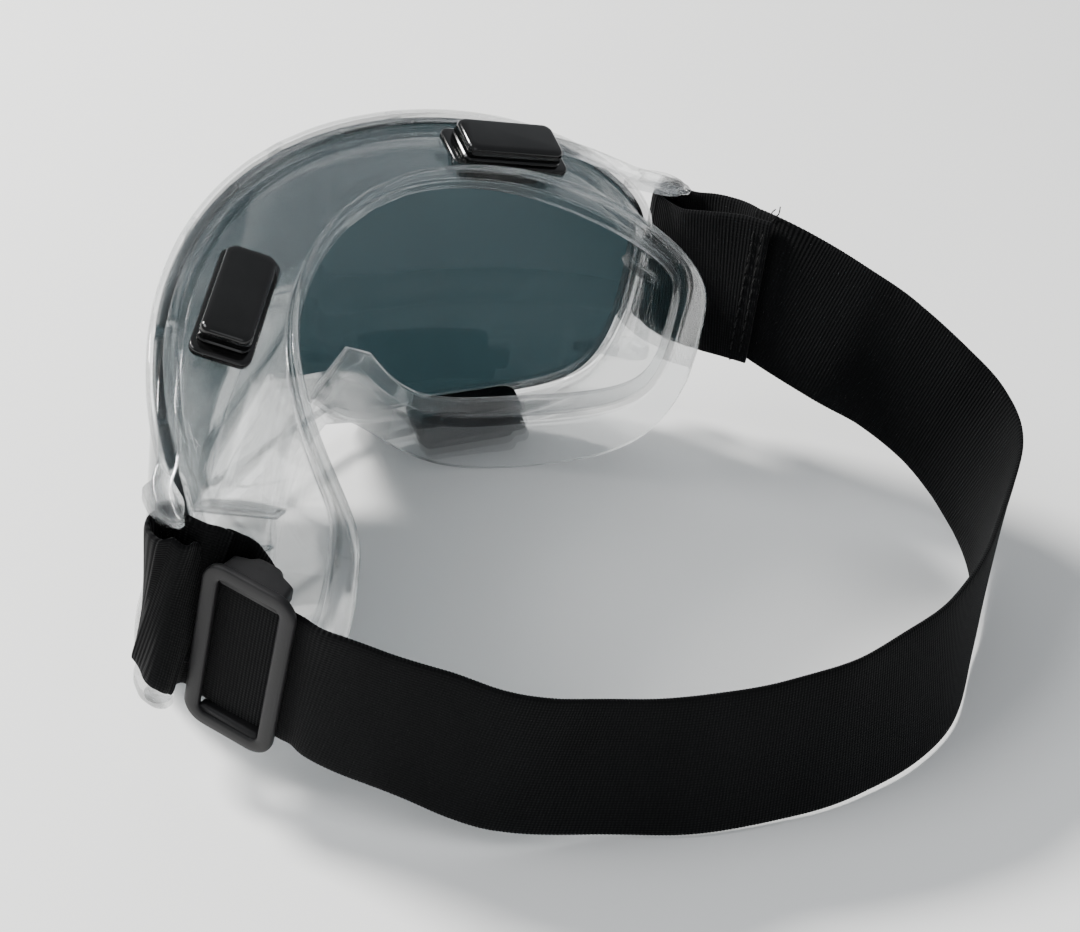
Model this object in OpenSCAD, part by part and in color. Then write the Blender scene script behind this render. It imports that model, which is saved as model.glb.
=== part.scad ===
/* [Frame front] */
// Half width of the front rim, measured across the face
rim_half_w = 86.5; // [80:0.5:92]
// Height of the rim's top edge over the table
rim_top = 95; // [88:1:100]
// Fall of the rim's top edge from the middle to the temples
rim_drop = 12; // [6:1:16]
// How squarely the rim's corners are rounded
rim_square = 5; // [3.5:0.5:7]
// How squarely the rim's lower corners are rounded
rim_low_square = 7; // [5:0.5:9]
// Narrowing of the rim towards the cheeks, as a share of its width
rim_taper = 0.05; // [0:0.01:0.1]
// Height of the nose arch in the rim
nose_rise = 27; // [18:1:34]
// Half width of the nose arch
nose_w = 21; // [16:1:26]
// Plan ellipse of the front: half width
front_a = 88; // [86.8:0.1:96]
// Plan ellipse of the front: depth
front_b = 65; // [50:1:75]
// Fullness of the front's curve, 2 for a true ellipse
front_full = 1.88; // [1.8:0.02:2.2]
// Depth of the rim moulding, from its face to the back lip
rim_depth = 6; // [5:0.5:8]
// Reach of the lips over the lens
rim_lip = 5; // [4:0.5:7]

/* [Lens] */
// Thickness of the lens
lens_t = 2; // [1.5:0.1:2.4]
// Room round the lens in its groove
lens_gap = 0.1; // [0.05:0.05:0.3]
// Depth of the groove's bottom under the rim's outside
groove_bottom = 2; // [1.5:0.1:2.5]
// Number of clips that hold the lens's top edge
clip_count = 3; // [3:2:5]

/* [Face flange] */
// Half width of the flange
flange_half_w = 66.5; // [62:0.5:72]
// Height of the flange's top edge over the table
flange_top = 96; // [90:1:100]
// Thickness of the flange
flange_t = 2.2; // [1.6:0.1:3]
// Distance of the flange's middle behind the frame's front
flange_back = 28; // [22:1:34]
// Depth of the face curve, from the nose to the temples
face_depth = 65; // [55:1:75]
// Height of the face opening's top edge
opening_top = 91; // [84:1:94]
// Height of the face opening's bottom edge
opening_bottom = 22; // [16:1:28]
// Thickness of the soft wall between rim and flange
wall_t = 2; // [1.6:0.1:2.6]

/* [Ears] */
// Distance of each strap post from the middle
post_x = 90.8; // [90.8:0.1:92]
// Distance of the strap posts behind the frame's front
post_y = 54.5; // [54.5:0.5:58]
// Radius of the strap posts
post_r = 2; // [1.5:0.1:2.4]
// Height of the lower arm's top face
post_z0 = 21; // [18:1:21]
// Height of the upper arm's bottom face
post_z1 = 70; // [69.8:0.1:74]
// Thickness of the arms
arm_t = 2.5; // [2:0.5:4]

/* [Vents] */
// Length of a vent's base plate
vent_l = 31; // [26:1:34]
// Width of a vent's base plate
vent_w = 13.5; // [11:0.5:16]
// Thickness of a vent's base plate
vent_base_t = 2; // [1.5:0.5:3]
// Height of a vent's hood over its plate
hood_h = 4.5; // [4:0.5:5]
// Number of air slots along each side of a hood
slot_count = 5; // [3:1:7]

/* [Strap] */
// Width of the elastic
strap_w = 38; // [30:1:38]
// Thickness of the elastic
strap_t = 1.6; // [1.2:0.1:2]
// Radius of the elastic's inside where it folds round a post
fold_r = 2.6; // [2.5:0.1:3]

/* [Slider] */
// Height of the slider, across the strap
slider_h = 48; // [46:0.5:50]
// Length of the slider, along the strap
slider_l = 22; // [20:0.5:23]
// Thickness of the slider's outer bars
slider_t = 2; // [1.6:0.1:2.6]
// Width of the slider's end bars
bar_w = 3.6; // [3:0.2:4]

/* [Hidden] */
fine = 48;
eps = 0.01;
stations = 120;
clear_soft = [0.80, 0.86, 0.88, 0.45];
smoke = [0.20, 0.28, 0.30, 0.6];
black_gloss = [0.03, 0.03, 0.03];
webbing = [0.05, 0.05, 0.05];
dark_grey = [0.16, 0.16, 0.17];
// The frame is drawn round its own middle; this puts the middle of the whole part on the origin
part_dx = -5.13;
part_dy = 90.48;

// Outlines seen from the front: lowest points, falls towards the temples, squareness and taper
rim_bottom = -0.35;
flange_bottom = -1.9;
flange_drop = 13;
flange_square = 6;
flange_taper = 0.06;
opening_drop = 17;
opening_taper = 0.03;
// The flange leans forward over the nose: reach, half width, height it starts from and height it grows over
nose_lean = 8;
nose_lean_w = 28;
nose_lean_top = 62;
nose_lean_h = 40;
// Degrees by which the outline's stations crowd towards its corners
crowding = 11;
// Nearly all of the flange's half width lies on the face curve's ellipse
face_share = 0.98;

// ---------- shared shapes ----------
function spow(v, p) = sign(v) * pow(abs(v), p);
function unit(v) = v / norm(v);
function lerp(a, b, k) = a + (b - a) * k;

// A shield outline in the x-z plane:
// [half width, bottom, top, temple drop, squareness, lower squareness, taper, nose rise, nose width]
rim_spec = [rim_half_w, rim_bottom, rim_top, rim_drop, rim_square, rim_low_square,
            rim_taper, nose_rise, nose_w];
flange_spec = [flange_half_w, flange_bottom, flange_top, flange_drop, flange_square, flange_square,
               flange_taper, nose_rise, nose_w + 3];
hole_spec = [flange_half_w - 2, opening_bottom, opening_top, opening_drop, flange_square, flange_square,
             opening_taper, nose_rise + 2, nose_w - 2];

function shield(s, u) =
    let (power = 2 / (sin(u) < 0 ? s[5] : s[4]),
         sx = spow(cos(u), power),
         sz = spow(sin(u), power),
         low = max(0, -sz),
         x = s[0] * sx * (1 - s[6] * low * low),
         mid = (s[1] + s[2]) / 2,
         half = (s[2] - s[1]) / 2,
         z = mid + half * sz - s[3] * sx * sx * max(0, sz) + s[7] * exp(-pow(x / s[8], 2)) * low)
    [x, z];

function front_y(x) =
    -front_b * (1 - pow(max(0, 1 - pow(abs(x) / front_a, front_full)), 1 / front_full));
function face_y(x) =
    -flange_back - face_depth * (1 - sqrt(max(0, 1 - face_share * pow(x / flange_half_w, 2))));
// Slope of a plan curve and the unit vector square to it, pointing back towards the face
slope_step = 0.1;
function slope(y1, y0) = (y1 - y0) / (2 * slope_step);
function front_in(x) =
    let (a = max(slope_step - front_a, min(front_a - slope_step, x)),
         dy = slope(front_y(a + slope_step), front_y(a - slope_step)))
    unit([dy, -1, 0]);
function face_in(x) =
    let (a = max(slope_step - flange_half_w, min(flange_half_w - slope_step, x)),
         dy = slope(face_y(a + slope_step), face_y(a - slope_step)))
    unit([dy, -1, 0]);

// Evenly spread stations round a shield, finer where the outline turns
function crowded(t) = t - crowding * sin(4 * t);
function angle_at(i) = crowded(360 * i / stations);
function rim_point(u) = let (p = shield(rim_spec, u)) [p[0], front_y(p[0]), p[1]];
function rim_along(u) = unit(rim_point(u + 0.2) - rim_point(u - 0.2));
// Unit vector along the lens surface, from the rim towards the middle of the lens
function rim_inward(u) = unit(cross(front_in(rim_point(u)[0]), rim_along(u)));
function rim_offset(u, a, b) = rim_point(u) + rim_inward(u) * a + front_in(rim_point(u)[0]) * b;
function nose_forward(p) =
    nose_lean * exp(-pow(p[0] / nose_lean_w, 2)) * max(0, min(1, (nose_lean_top - p[1]) / nose_lean_h));
function on_face(p) = [p[0], face_y(p[0]) + nose_forward(p), p[1]];
// End of the soft wall inside the flange, set out from the opening's edge towards the flange's outer edge
function wall_end(u, out) =
    let (a = shield(flange_spec, u),
         b = shield(hole_spec, u),
         share = wall_seat + out / norm(on_face(a) - on_face(b)))
    on_face(lerp(b, a, share)) - [0, flange_t / 2, 0];

// Skin for a closed chain of rings that all have the same number of points
module ring_loft(rings) {
    count = len(rings);
    size = len(rings[0]);
    points = [for (r = rings) for (p = r) p];
    faces = [for (i = [0:count - 1]) for (j = [0:size - 1]) for (half = [0, 1])
        let (i2 = (i + 1) % count,
             j2 = (j + 1) % size,
             a = i * size + j, b = i * size + j2, c = i2 * size + j2, d = i2 * size + j)
        half == 0 ? [a, b, c] : [a, c, d]];
    polyhedron(points, faces, convexity = 10);
}

// Skin for an open chain of four-cornered rings, with both ends closed
module ribbon(rings) {
    count = len(rings);
    points = [for (r = rings) for (p = r) p];
    sides = [for (i = [0:count - 2]) for (j = [0:3]) for (half = [0, 1])
        let (j2 = (j + 1) % 4, a = i * 4 + j, b = i * 4 + j2, c = a + 4, d = b + 4)
        half == 0 ? [a, b, d] : [a, d, c]];
    last = (count - 1) * 4;
    first_end = [[3, 2, 1], [3, 1, 0]];
    last_end = [[last, last + 1, last + 2], [last, last + 2, last + 3]];
    polyhedron(points, concat(sides, first_end, last_end), convexity = 6);
}

// Catmull-Rom curve through a list of points
function spline(p, i, k) =
    let (n = len(p),
         a = p[max(0, i - 1)],
         b = p[i],
         c = p[min(n - 1, i + 1)],
         d = p[min(n - 1, i + 2)],
         square = 2 * a - 5 * b + 4 * c - d,
         cube = 3 * b - a - 3 * c + d)
    (2 * b + (c - a) * k + square * k * k + cube * k * k * k) / 2;
function smooth(p, steps) = concat(
    [for (i = [0:len(p) - 2]) for (k = [0:steps - 1]) spline(p, i, k / steps)],
    [p[len(p) - 1]]);

// Strap stations are [x, y, z of the middle, lean of the top edge into the loop]
function strap_dir(path, i) =
    let (a = path[max(0, i - 1)], b = path[min(len(path) - 1, i + 1)])
    limit_slope(b[0] - a[0], b[1] - a[1], b[2] - a[2]);
// The elastic shears rather than tips where its path is steep
max_slope = 0.22;
function limit_slope(dx, dy, dz) =
    let (run = norm([dx, dy]))
    unit([dx, dy, max(-max_slope * run, min(max_slope * run, dz))]);
function strap_in(d) = unit([-d[1], d[0], 0]);
function strap_up(d, lean) = unit(unit([0, 0, 1] - d * d[2]) * strap_w + strap_in(d) * lean);
function strap_ring(path, i, half) =
    let (s = path[i],
         d = strap_dir(path, i),
         c = [s[0], s[1], s[2]],
         up = strap_up(d, s[3]) * half,
         side = unit(cross(d, up)) * strap_t / 2)
    [c - up - side, c - up + side, c + up + side, c + up - side];
function strap_rings(path) = [for (i = [0:len(path) - 1]) strap_ring(path, i, strap_w / 2)];

// Moves a shape drawn along +X to a place on the strap, with its own +Z up the strap's width
module on_strap(at, d, lean) {
    translate([at[0], at[1], at[2]])
        rotate([-atan2(lean, strap_w), -asin(d[2]), atan2(d[1], d[0])])
            children();
}

module rounded_plate(l, w, t, r) {
    linear_extrude(t) {
        square([l - 2 * r, w], center = true);
        square([l, w - 2 * r], center = true);
        for (sx = [-1, 1], sy = [-1, 1])
            translate([sx * (l / 2 - r), sy * (w / 2 - r)]) circle(r, $fn = fine);
    }
}

module place() {
    translate([part_dx, part_dy, 0]) children();
}

// ---------- frame ----------
// Where the soft wall meets the flange, as a share of the way from the opening's edge outwards
wall_seat = 0.3;
// Where the soft wall leaves the rim's outside
wall_root = 1.6;
// Rounding of the rim's face edges, its outside edge and its back edge
face_round = 0.8;
side_round = 1;
back_round = 1.5;
// The wall's inside leaves the back lip a little behind it
wall_behind = 1.2;
// The lens groove, from the rim's face
groove_front = 1.4;
groove_back = groove_front + lens_t + 2 * lens_gap;

// One section of rim and soft wall together, round the outside, along the wall and back round the groove
function frame_section(u) = [
    rim_offset(u, face_round, 0),
    rim_offset(u, 0, side_round),
    rim_offset(u, 0, rim_depth - back_round),
    rim_offset(u, wall_root, rim_depth),
    wall_end(u, wall_t),
    wall_end(u, 0),
    rim_offset(u, wall_root + wall_t, rim_depth + wall_behind),
    rim_offset(u, rim_lip, rim_depth),
    rim_offset(u, rim_lip, groove_back),
    rim_offset(u, groove_bottom, groove_back),
    rim_offset(u, groove_bottom, groove_front),
    rim_offset(u, rim_lip, groove_front),
    rim_offset(u, rim_lip - face_round, 0)];

module frame_body() {
    color(clear_soft) place() difference() {
        ring_loft([for (i = [0:stations - 1]) frame_section(angle_at(i))]);
        for (side = [-1, 1], low = [0, 1])
            vent_frame(side, low) {
                translate([0, 0, -port_h / 2])
                    rounded_plate(spigot_l + spigot_room, spigot_w + spigot_room, port_h, spigot_round);
                translate([0, 0, vent_seat + vent_base_t]) hood_block(hood_clear);
            }
    }
}

// One section of the flange: its back side from the outer edge inwards, then its front side outwards
function flange_section(u) =
    let (outer = shield(flange_spec, u),
         inner = shield(hole_spec, u),
         across = [outer, (outer + inner) / 2, inner])
    concat(
        [for (p = across) on_face(p) + face_in(p[0]) * flange_t],
        [for (k = [2:-1:0]) on_face(across[k])]);

module face_flange() {
    color(clear_soft) place() ring_loft([for (i = [0:stations - 1]) flange_section(angle_at(i))]);
}

module ear(side) {
    color(clear_soft) place() mirror([side < 0 ? 1 : 0, 0, 0]) ear_solid();
}

// Distance from the middle at which each arm leaves the rim
high_root = 82;
low_root = 79.5;
// The root sits a little behind the rim's face on the inside, and proud of it on the outside
root_w = 2;
root_in = 1.5;
// Corners of an arm round the post, from its outer side to its inner side, measured from the post
arm_corners = [[-0.5, 8], [2.4, 3], [2.4, -1.2], [1, -3.2], [-1.4, -3.2], [-4, -0.6]];
// The upper arm's brace, from behind the rim's top corner to a point by the post
strut_x = 72;
strut_back = 9;
strut_z = 79.5;
strut_r = 1.9;
strut_end = [-2, 4];

function arm_outline(root) = concat(
    [[root, front_y(root) - root_in], [root + root_w, front_y(root + root_w) + root_in]],
    [for (c = arm_corners) [post_x + c[0], c[1] - post_y]]);

module arm(root, z) {
    translate([0, 0, z]) linear_extrude(arm_t) polygon(arm_outline(root));
}

module strut_disc(at) {
    translate(at) cylinder(r = strut_r, h = arm_t, $fn = fine);
}

module ear_solid() {
    arm(high_root, post_z1);
    arm(low_root, post_z0 - arm_t);
    hull() {
        strut_disc([strut_x, front_y(strut_x) - strut_back, strut_z]);
        strut_disc([post_x + strut_end[0], strut_end[1] - post_y, post_z1]);
    }
    translate([post_x, -post_y, post_z0 - eps])
        cylinder(r = post_r, h = post_z1 - post_z0 + 2 * eps, $fn = fine);
}

// ---------- lens ----------
lens_columns = 72;
lens_rows = 6;
// Columns run from just above the right end of the outline to just above its left end
lens_first = 2;

function lens_edge(u) = let (p = rim_offset(u, groove_bottom + lens_gap, 0)) [p[0], p[2]];
function lens_u(i) = crowded(lerp(lens_first, 180 - lens_first, i / lens_columns));
function lens_layer(b) = [for (i = [0:lens_columns], j = [0:lens_rows])
    let (q = lerp(lens_edge(lens_u(i)), lens_edge(-lens_u(i)), j / lens_rows))
    [q[0], front_y(q[0]), q[1]] + front_in(q[0]) * b];

// Triangles of one sheet of the lens; the back sheet is wound the other way
function lens_sheet(start, w, back) =
    [for (i = [0:lens_columns - 1]) for (j = [0:lens_rows - 1]) for (h = [0, 1])
        let (a = start + i * w + j, b = a + 1, c = a + w, d = c + 1)
        back ? (h == 0 ? [a, b, c] : [b, d, c]) : (h == 0 ? [a, c, b] : [b, c, d])];
// Side faces join the front sheet's border to the back sheet's
function lens_border(w) = concat(
    [for (i = [0:lens_columns]) i * w],
    [for (j = [1:lens_rows]) lens_columns * w + j],
    [for (i = [lens_columns - 1:-1:0]) i * w + lens_rows],
    [for (j = [lens_rows - 1:-1:1]) j]);
function lens_sides(w, n) =
    let (e = lens_border(w), m = len(e))
    [for (k = [0:m - 1]) for (h = [0, 1])
        let (a = e[k], b = e[(k + 1) % m])
        h == 0 ? [a, a + n, b] : [b, a + n, b + n]];

module lens() {
    front = lens_layer(groove_front + lens_gap);
    back = lens_layer(groove_front + lens_gap + lens_t);
    w = lens_rows + 1;
    n = len(front);
    color(smoke) place()
        polyhedron(concat(front, back),
                   concat(lens_sheet(0, w, false), lens_sheet(n, w, true), lens_sides(w, n)),
                   convexity = 6);
}

// Distance between the outermost clips, and one clip's width, height, thickness and places
clip_spread = 70;
clip_w = 5;
clip_h = 4.5;
clip_t = 1.5;
clip_proud = 0.2;
clip_below = 2;

module lens_clips() {
    color(clear_soft) place()
        for (k = [0:clip_count - 1])
            clip_at((k - (clip_count - 1) / 2) * clip_spread / (clip_count - 1));
}

module clip_at(x) {
    turn = atan2(front_in(x)[0], -front_in(x)[1]);
    translate([x, front_y(x), rim_top - rim_drop * pow(x / rim_half_w, 2)]) rotate([0, 0, turn])
        translate([-clip_w / 2, clip_proud - clip_t, -rim_lip - clip_below])
            cube([clip_w, clip_t, clip_h]);
}

// ---------- vents ----------
// Hollow spigot that plugs a vent into the wall
spigot_l = 22;
spigot_w = 7;
spigot_h = 5;
spigot_wall = 1.5;
// The port cut for it: room round the spigot, height through the wall and rounding
spigot_room = 1;
port_h = 12;
spigot_round = 2;
// Height of a base plate's underside over the middle of the wall, and the room round a hood
vent_seat = 0.4;
hood_clear = 0.2;
// A hood's setback from the plate's ends and sides, its walls and its roof
hood_end = 2.5;
hood_side = 1;
hood_wall = 1.5;
hood_roof = 1.6;
// Air slots in a hood's sides: width, height over the plate and how deep they cut in
slot_w = 2;
slot_z = 1;
slot_top = 2.4;
slot_cut = 3;
slot_in = 1.8;
vent_x = 47;

// Each vent: middle on the outside of the wall, long axis, turn about the long axis
top_vent = [[vent_x, -31, 86.2], unit([26, -14.5, -6]), 10];
low_vent = [[vent_x + 1, -32, 8.6], unit([26, -14.5, 0]), 180 + 17];

module vent_frame(side, low) {
    v = low == 0 ? top_vent : low_vent;
    mirror([side < 0 ? 1 : 0, 0, 0])
        translate(v[0]) rotate([v[2], -asin(v[1][2]), atan2(v[1][1], v[1][0])]) children();
}

module hood_block(grow) {
    rounded_plate(vent_l - 2 * hood_end + 2 * grow, vent_w - 2 * hood_side + 2 * grow, hood_h + grow, 2);
}

module vent_base(side, low) {
    color(black_gloss) place() vent_frame(side, low) difference() {
        union() {
            translate([0, 0, vent_seat]) rounded_plate(vent_l, vent_w, vent_base_t, 2.5);
            translate([0, 0, -spigot_h])
                rounded_plate(spigot_l, spigot_w, spigot_h + vent_seat + eps, 1.6);
        }
        translate([0, 0, -port_h / 2])
            rounded_plate(spigot_l - 2 * spigot_wall, spigot_w - 2 * spigot_wall, port_h, 1);
    }
}

module air_slots() {
    row = vent_l - 4 * hood_end;
    for (k = [0:slot_count - 1], s = [-1, 1])
        translate([(k - (slot_count - 1) / 2) * row / slot_count - slot_w / 2,
                   s * (vent_w / 2 - slot_in) - slot_cut / 2, slot_z])
            cube([slot_w, slot_cut, hood_h - slot_z - slot_top]);
}

module vent_cap(side, low) {
    inside_l = vent_l - 2 * (hood_end + hood_wall);
    inside_w = vent_w - 2 * (hood_side + hood_wall);
    color(black_gloss) place() vent_frame(side, low) translate([0, 0, vent_seat + vent_base_t]) difference() {
        hood_block(0);
        translate([0, 0, -1]) rounded_plate(inside_l, inside_w, hood_h + 1 - hood_roof, 1);
        air_slots();
    }
}

// ---------- strap ----------
// The slider's straight stretch, from the left ear back; the rest of the loop starts at its end
slide_mid = [-83.8, -71.4, 39];
slide_dir = unit([0.16, -0.98, -0.09]);
slide_lean = -1.5;
// Heights of the elastic's middle where it folds round the left and right posts
left_z = 50;
right_z = 50.5;
fold_mid_r = fold_r + strap_t / 2;

// Ends of the band's hinge line: the middles of its two rounded ends
left_pivot = [-69.6, -108.4, 31.2, 0];
left_dir = unit([0.42, -0.86, -0.2]);
// Outward lean of the band's top edge at its sewn end
right_lean = 7;
loop_keys = [
    left_pivot,
    [-62.5, -118, 26.6, 0],
    [-54, -126, 23, 2],
    [-40, -137, 20, 3.5],
    [-24.5, -151, 19.2, 5],
    [-7.5, -162, 19, 7],
    [12.5, -171, 19, 9],
    [42, -176, 19, 9],
    [70, -170, 20, 4],
    [89, -162, 22.5, 0],
    [100, -154, 27, -5],
    [104, -145, 32.5, -4],
    [103.5, -134, 39, -2],
    [100, -120, 46, -3],
    [95, -107, 51.2, -right_lean]];

right_end = [90.8, -88, 56];

// The left loop's stations along the straight stretch, back to front, then its bend towards the post
left_steps = [18, 12, 6, 0, -6, -10, -12];
left_bend = [[-87.8, -58.8, 42.2, 0], [-90.9, -58.4, 45.2, 0], [-93, -57.3, 47.4, 0]];
left_inner = [[-86.6, -57.8, left_z - 0.6, 0], [-85, -60.4, left_z - 1.6, 0]];
// The elastic starts to climb back to its own height over the last part of the fold
left_rise_from = 150;
left_rise_share = 20;
// The right loop's two plies tip outwards towards the seam; the inner one is drawn from the seam forwards
right_inner = [
    [88, -86, 55.8, -right_lean],
    [86.8, -80, 55.2, -right_lean],
    [85.6, -72, 53.2, -right_lean / 2],
    [85.2, -65, 51.4, 0],
    [86.3, -58.5, right_z, 0]];
right_outer = [
    [95.4, -58.5, right_z, 0],
    [96.2, -65, 51.4, 0],
    [94.6, -72, 53.2, right_lean / 2],
    [91.4, -80, 55.2, right_lean],
    concat(right_end, [right_lean])];

// The swinging stretch starts and ends in half discs about its pivots
cap_first = [84:-12:12];
cap_last = [12:12:84];

function cap_station(pivot, dir, reach, lean) = concat([pivot[0], pivot[1], pivot[2]] + dir * reach, [lean]);

module strap_band() {
    right_pivot = loop_keys[len(loop_keys) - 1];
    right_dir = unit([for (k = [0:2]) right_end[k] - right_pivot[k]]);
    half = strap_w / 2;
    near = [for (a = cap_first) cap_station(left_pivot, left_dir, -half * sin(a), 0)];
    far = [for (a = cap_last) cap_station(right_pivot, right_dir, half * sin(a), -right_lean)];
    middle = smooth(loop_keys, 4);
    path = concat(near, middle, far);
    heights = concat(
        [for (a = cap_first) half * cos(a)],
        [for (p = middle) half],
        [for (a = cap_last) half * cos(a)]);
    color(webbing) place() ribbon([for (i = [0:len(path) - 1]) strap_ring(path, i, heights[i])]);
}

function fold_station(side, a, z) =
    [side * post_x + fold_mid_r * cos(a), -post_y + fold_mid_r * sin(a), z, 0];
function left_fold_z(a) = left_z - max(0, (a - left_rise_from) / left_rise_share);

module strap_loop_left() {
    // Drawn from back to front, so its lean is turned over
    outer = [for (d = left_steps) concat(slide_mid + slide_dir * d, [-slide_lean])];
    fold = [for (a = [190:-19:0]) fold_station(-1, a, left_fold_z(a))];
    color(webbing) place() ribbon(strap_rings(smooth(concat(outer, left_bend, fold, left_inner), 2)));
}

module strap_loop_right() {
    fold = [for (a = [180:-18:0]) fold_station(1, a, right_z)];
    color(webbing) place() ribbon(strap_rings(smooth(concat(right_inner, fold, right_outer), 2)));
}

// ---------- slider ----------
// Room between the bars and the elastic, and above and below it in the window
bar_gap = 0.6;
rail_room = 0.4;
rail_w = (slider_h - strap_w) / 2 - rail_room;
corner_in = 4;
outer_bar_y = -strap_t / 2 - bar_gap - slider_t;
// The middle bar, behind the elastic, and the tail folded round it
middle_bar_t = 1.8;
middle_bar_w = 4;
tail_t = 1.2;
tail_gap = 0.2;
middle_bar_y = strap_t / 2 + bar_gap + tail_t + tail_gap;
slider_depth = middle_bar_y + middle_bar_t - outer_bar_y;

module at_slider() {
    on_strap(slide_mid, slide_dir, slide_lean) children();
}

// Plate on the strap's flat side: length along the strap, height across it
module upright(l, h, y, t, r) {
    translate([0, y + t, 0]) rotate([90, 0, 0]) rounded_plate(l, h, t, r);
}

module slider() {
    inside_h = slider_h - 2 * rail_w;
    color(dark_grey) place() at_slider() {
        difference() {
            upright(slider_l, slider_h, outer_bar_y, slider_t, 3.5);
            upright(slider_l - 2 * bar_w, inside_h, outer_bar_y - 1, slider_t + 2, 1);
        }
        for (s = [-1, 1])
            translate([corner_in - slider_l / 2, outer_bar_y, s * (slider_h - rail_w) / 2 - rail_w / 2])
                cube([slider_l - 2 * corner_in, slider_depth, rail_w]);
        translate([-middle_bar_w / 2, middle_bar_y, -slider_h / 2 + eps])
            cube([middle_bar_w, middle_bar_t, slider_h - 2 * eps]);
    }
}

// Width of the elastic's tail, folded round the middle bar and sewn to itself, and its reach forwards
tail_h = strap_w - 1;
tail_reach = 8;

module strap_tail() {
    wrap = middle_bar_t + 2 * (tail_gap + tail_t);
    y0 = middle_bar_y - tail_gap - tail_t;
    x1 = middle_bar_w / 2 + tail_gap + tail_t;
    color(webbing) place() at_slider() difference() {
        translate([-tail_reach, y0, -tail_h / 2]) cube([tail_reach + x1, wrap, tail_h]);
        translate([-middle_bar_w / 2 - tail_gap, middle_bar_y - tail_gap, -tail_h])
            cube([middle_bar_w + 2 * tail_gap, middle_bar_t + 2 * tail_gap, 2 * tail_h]);
        translate([-tail_reach - 1, y0 - 1, -tail_h])
            cube([tail_reach + 1 - middle_bar_w / 2 - tail_gap - tail_t, wrap + 1 - 2 * tail_t, 2 * tail_h]);
    }
}

// ---------- stitching ----------
stitch_w = 0.8;
stitch_t = 0.5;
stitch_pitch = 3.2;
stitch_gap = 1;
// Elastic left unsewn at the two edges together
stitch_margin = 3;
// Middle of the right seam, the elastic's direction there and the distance between its two rows
seam_mid = [87, -81.6, 55.4];
seam_dir = unit([1.2, -6.5, 0.6]);
seam_rows = 2.5;
// Distance of the tail's seam from its cut end
tail_seam = 2;

module stitch_row(h) {
    count = floor(h / stitch_pitch);
    for (k = [0:count - 1])
        translate([0, 0, (k - (count - 1) / 2) * stitch_pitch])
            cube([stitch_w, stitch_t, stitch_pitch - stitch_gap], center = true);
}

module stitch_right() {
    color(webbing) place()
        for (x = [0, seam_rows])
            on_strap(seam_mid, seam_dir, right_lean)
                translate([x, -(strap_t + stitch_t) / 2, 0]) stitch_row(strap_w - stitch_margin);
}

module stitch_tail() {
    color(webbing) place() at_slider()
        translate([tail_seam - tail_reach, middle_bar_y + middle_bar_t + tail_gap + tail_t + stitch_t / 2, 0])
            stitch_row(tail_h - stitch_margin);
}

frame_body();
face_flange();
ear(-1);  // ear_left
ear(1);  // ear_right
lens();
lens_clips();
vent_base(-1, 0);  // vent_base_top_left
vent_base(1, 0);  // vent_base_top_right
vent_base(-1, 1);  // vent_base_low_left
vent_base(1, 1);  // vent_base_low_right
vent_cap(-1, 0);  // vent_cap_top_left
vent_cap(1, 0);  // vent_cap_top_right
vent_cap(-1, 1);  // vent_cap_low_left
vent_cap(1, 1);  // vent_cap_low_right
strap_band();
strap_loop_left();
strap_loop_right();
strap_tail();
slider();
stitch_right();
stitch_tail();
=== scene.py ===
"""Looks for clear safety goggles with a smoke lens, black vents and an elastic headband."""

import math

import bmesh
import bpy
import numpy as np
from mathutils import Matrix, Vector


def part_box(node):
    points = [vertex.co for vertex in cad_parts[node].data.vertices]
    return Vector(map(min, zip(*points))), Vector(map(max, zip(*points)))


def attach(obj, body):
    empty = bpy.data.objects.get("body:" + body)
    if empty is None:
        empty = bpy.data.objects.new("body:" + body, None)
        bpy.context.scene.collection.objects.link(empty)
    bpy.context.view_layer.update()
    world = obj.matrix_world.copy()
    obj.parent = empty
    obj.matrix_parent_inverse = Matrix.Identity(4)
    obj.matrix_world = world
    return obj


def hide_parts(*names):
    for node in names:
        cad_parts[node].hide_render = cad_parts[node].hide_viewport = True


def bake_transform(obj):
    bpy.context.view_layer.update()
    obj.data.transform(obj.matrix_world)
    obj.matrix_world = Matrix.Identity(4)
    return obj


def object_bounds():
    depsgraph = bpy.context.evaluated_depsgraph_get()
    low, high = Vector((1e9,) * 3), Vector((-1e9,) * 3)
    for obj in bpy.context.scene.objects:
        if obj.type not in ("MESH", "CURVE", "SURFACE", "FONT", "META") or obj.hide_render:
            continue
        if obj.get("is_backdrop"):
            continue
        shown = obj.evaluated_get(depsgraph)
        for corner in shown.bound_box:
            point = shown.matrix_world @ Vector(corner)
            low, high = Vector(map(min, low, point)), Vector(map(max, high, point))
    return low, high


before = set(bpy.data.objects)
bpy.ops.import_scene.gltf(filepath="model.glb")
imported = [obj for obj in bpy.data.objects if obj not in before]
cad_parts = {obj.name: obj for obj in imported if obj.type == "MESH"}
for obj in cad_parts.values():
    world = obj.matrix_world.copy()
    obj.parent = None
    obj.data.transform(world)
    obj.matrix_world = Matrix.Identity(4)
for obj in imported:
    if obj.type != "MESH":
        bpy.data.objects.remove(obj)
cad_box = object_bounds()

# ---------- design sizes, in millimetres, shared with the solid model ----------
RIM = dict(
    half=86.5, low=-0.35, top=95.0, drop=12.0, square=5.0, low_square=7.0, taper=0.05, nose=27.0, nose_w=21.0)
FLANGE = dict(
    half=66.5, low=-1.9, top=96.0, drop=13.0, square=6.0, low_square=6.0, taper=0.06, nose=27.0, nose_w=24.0)
OPENING = dict(
    half=64.5, low=22.0, top=91.0, drop=17.0, square=6.0, low_square=6.0, taper=0.03, nose=29.0, nose_w=19.0)
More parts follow.
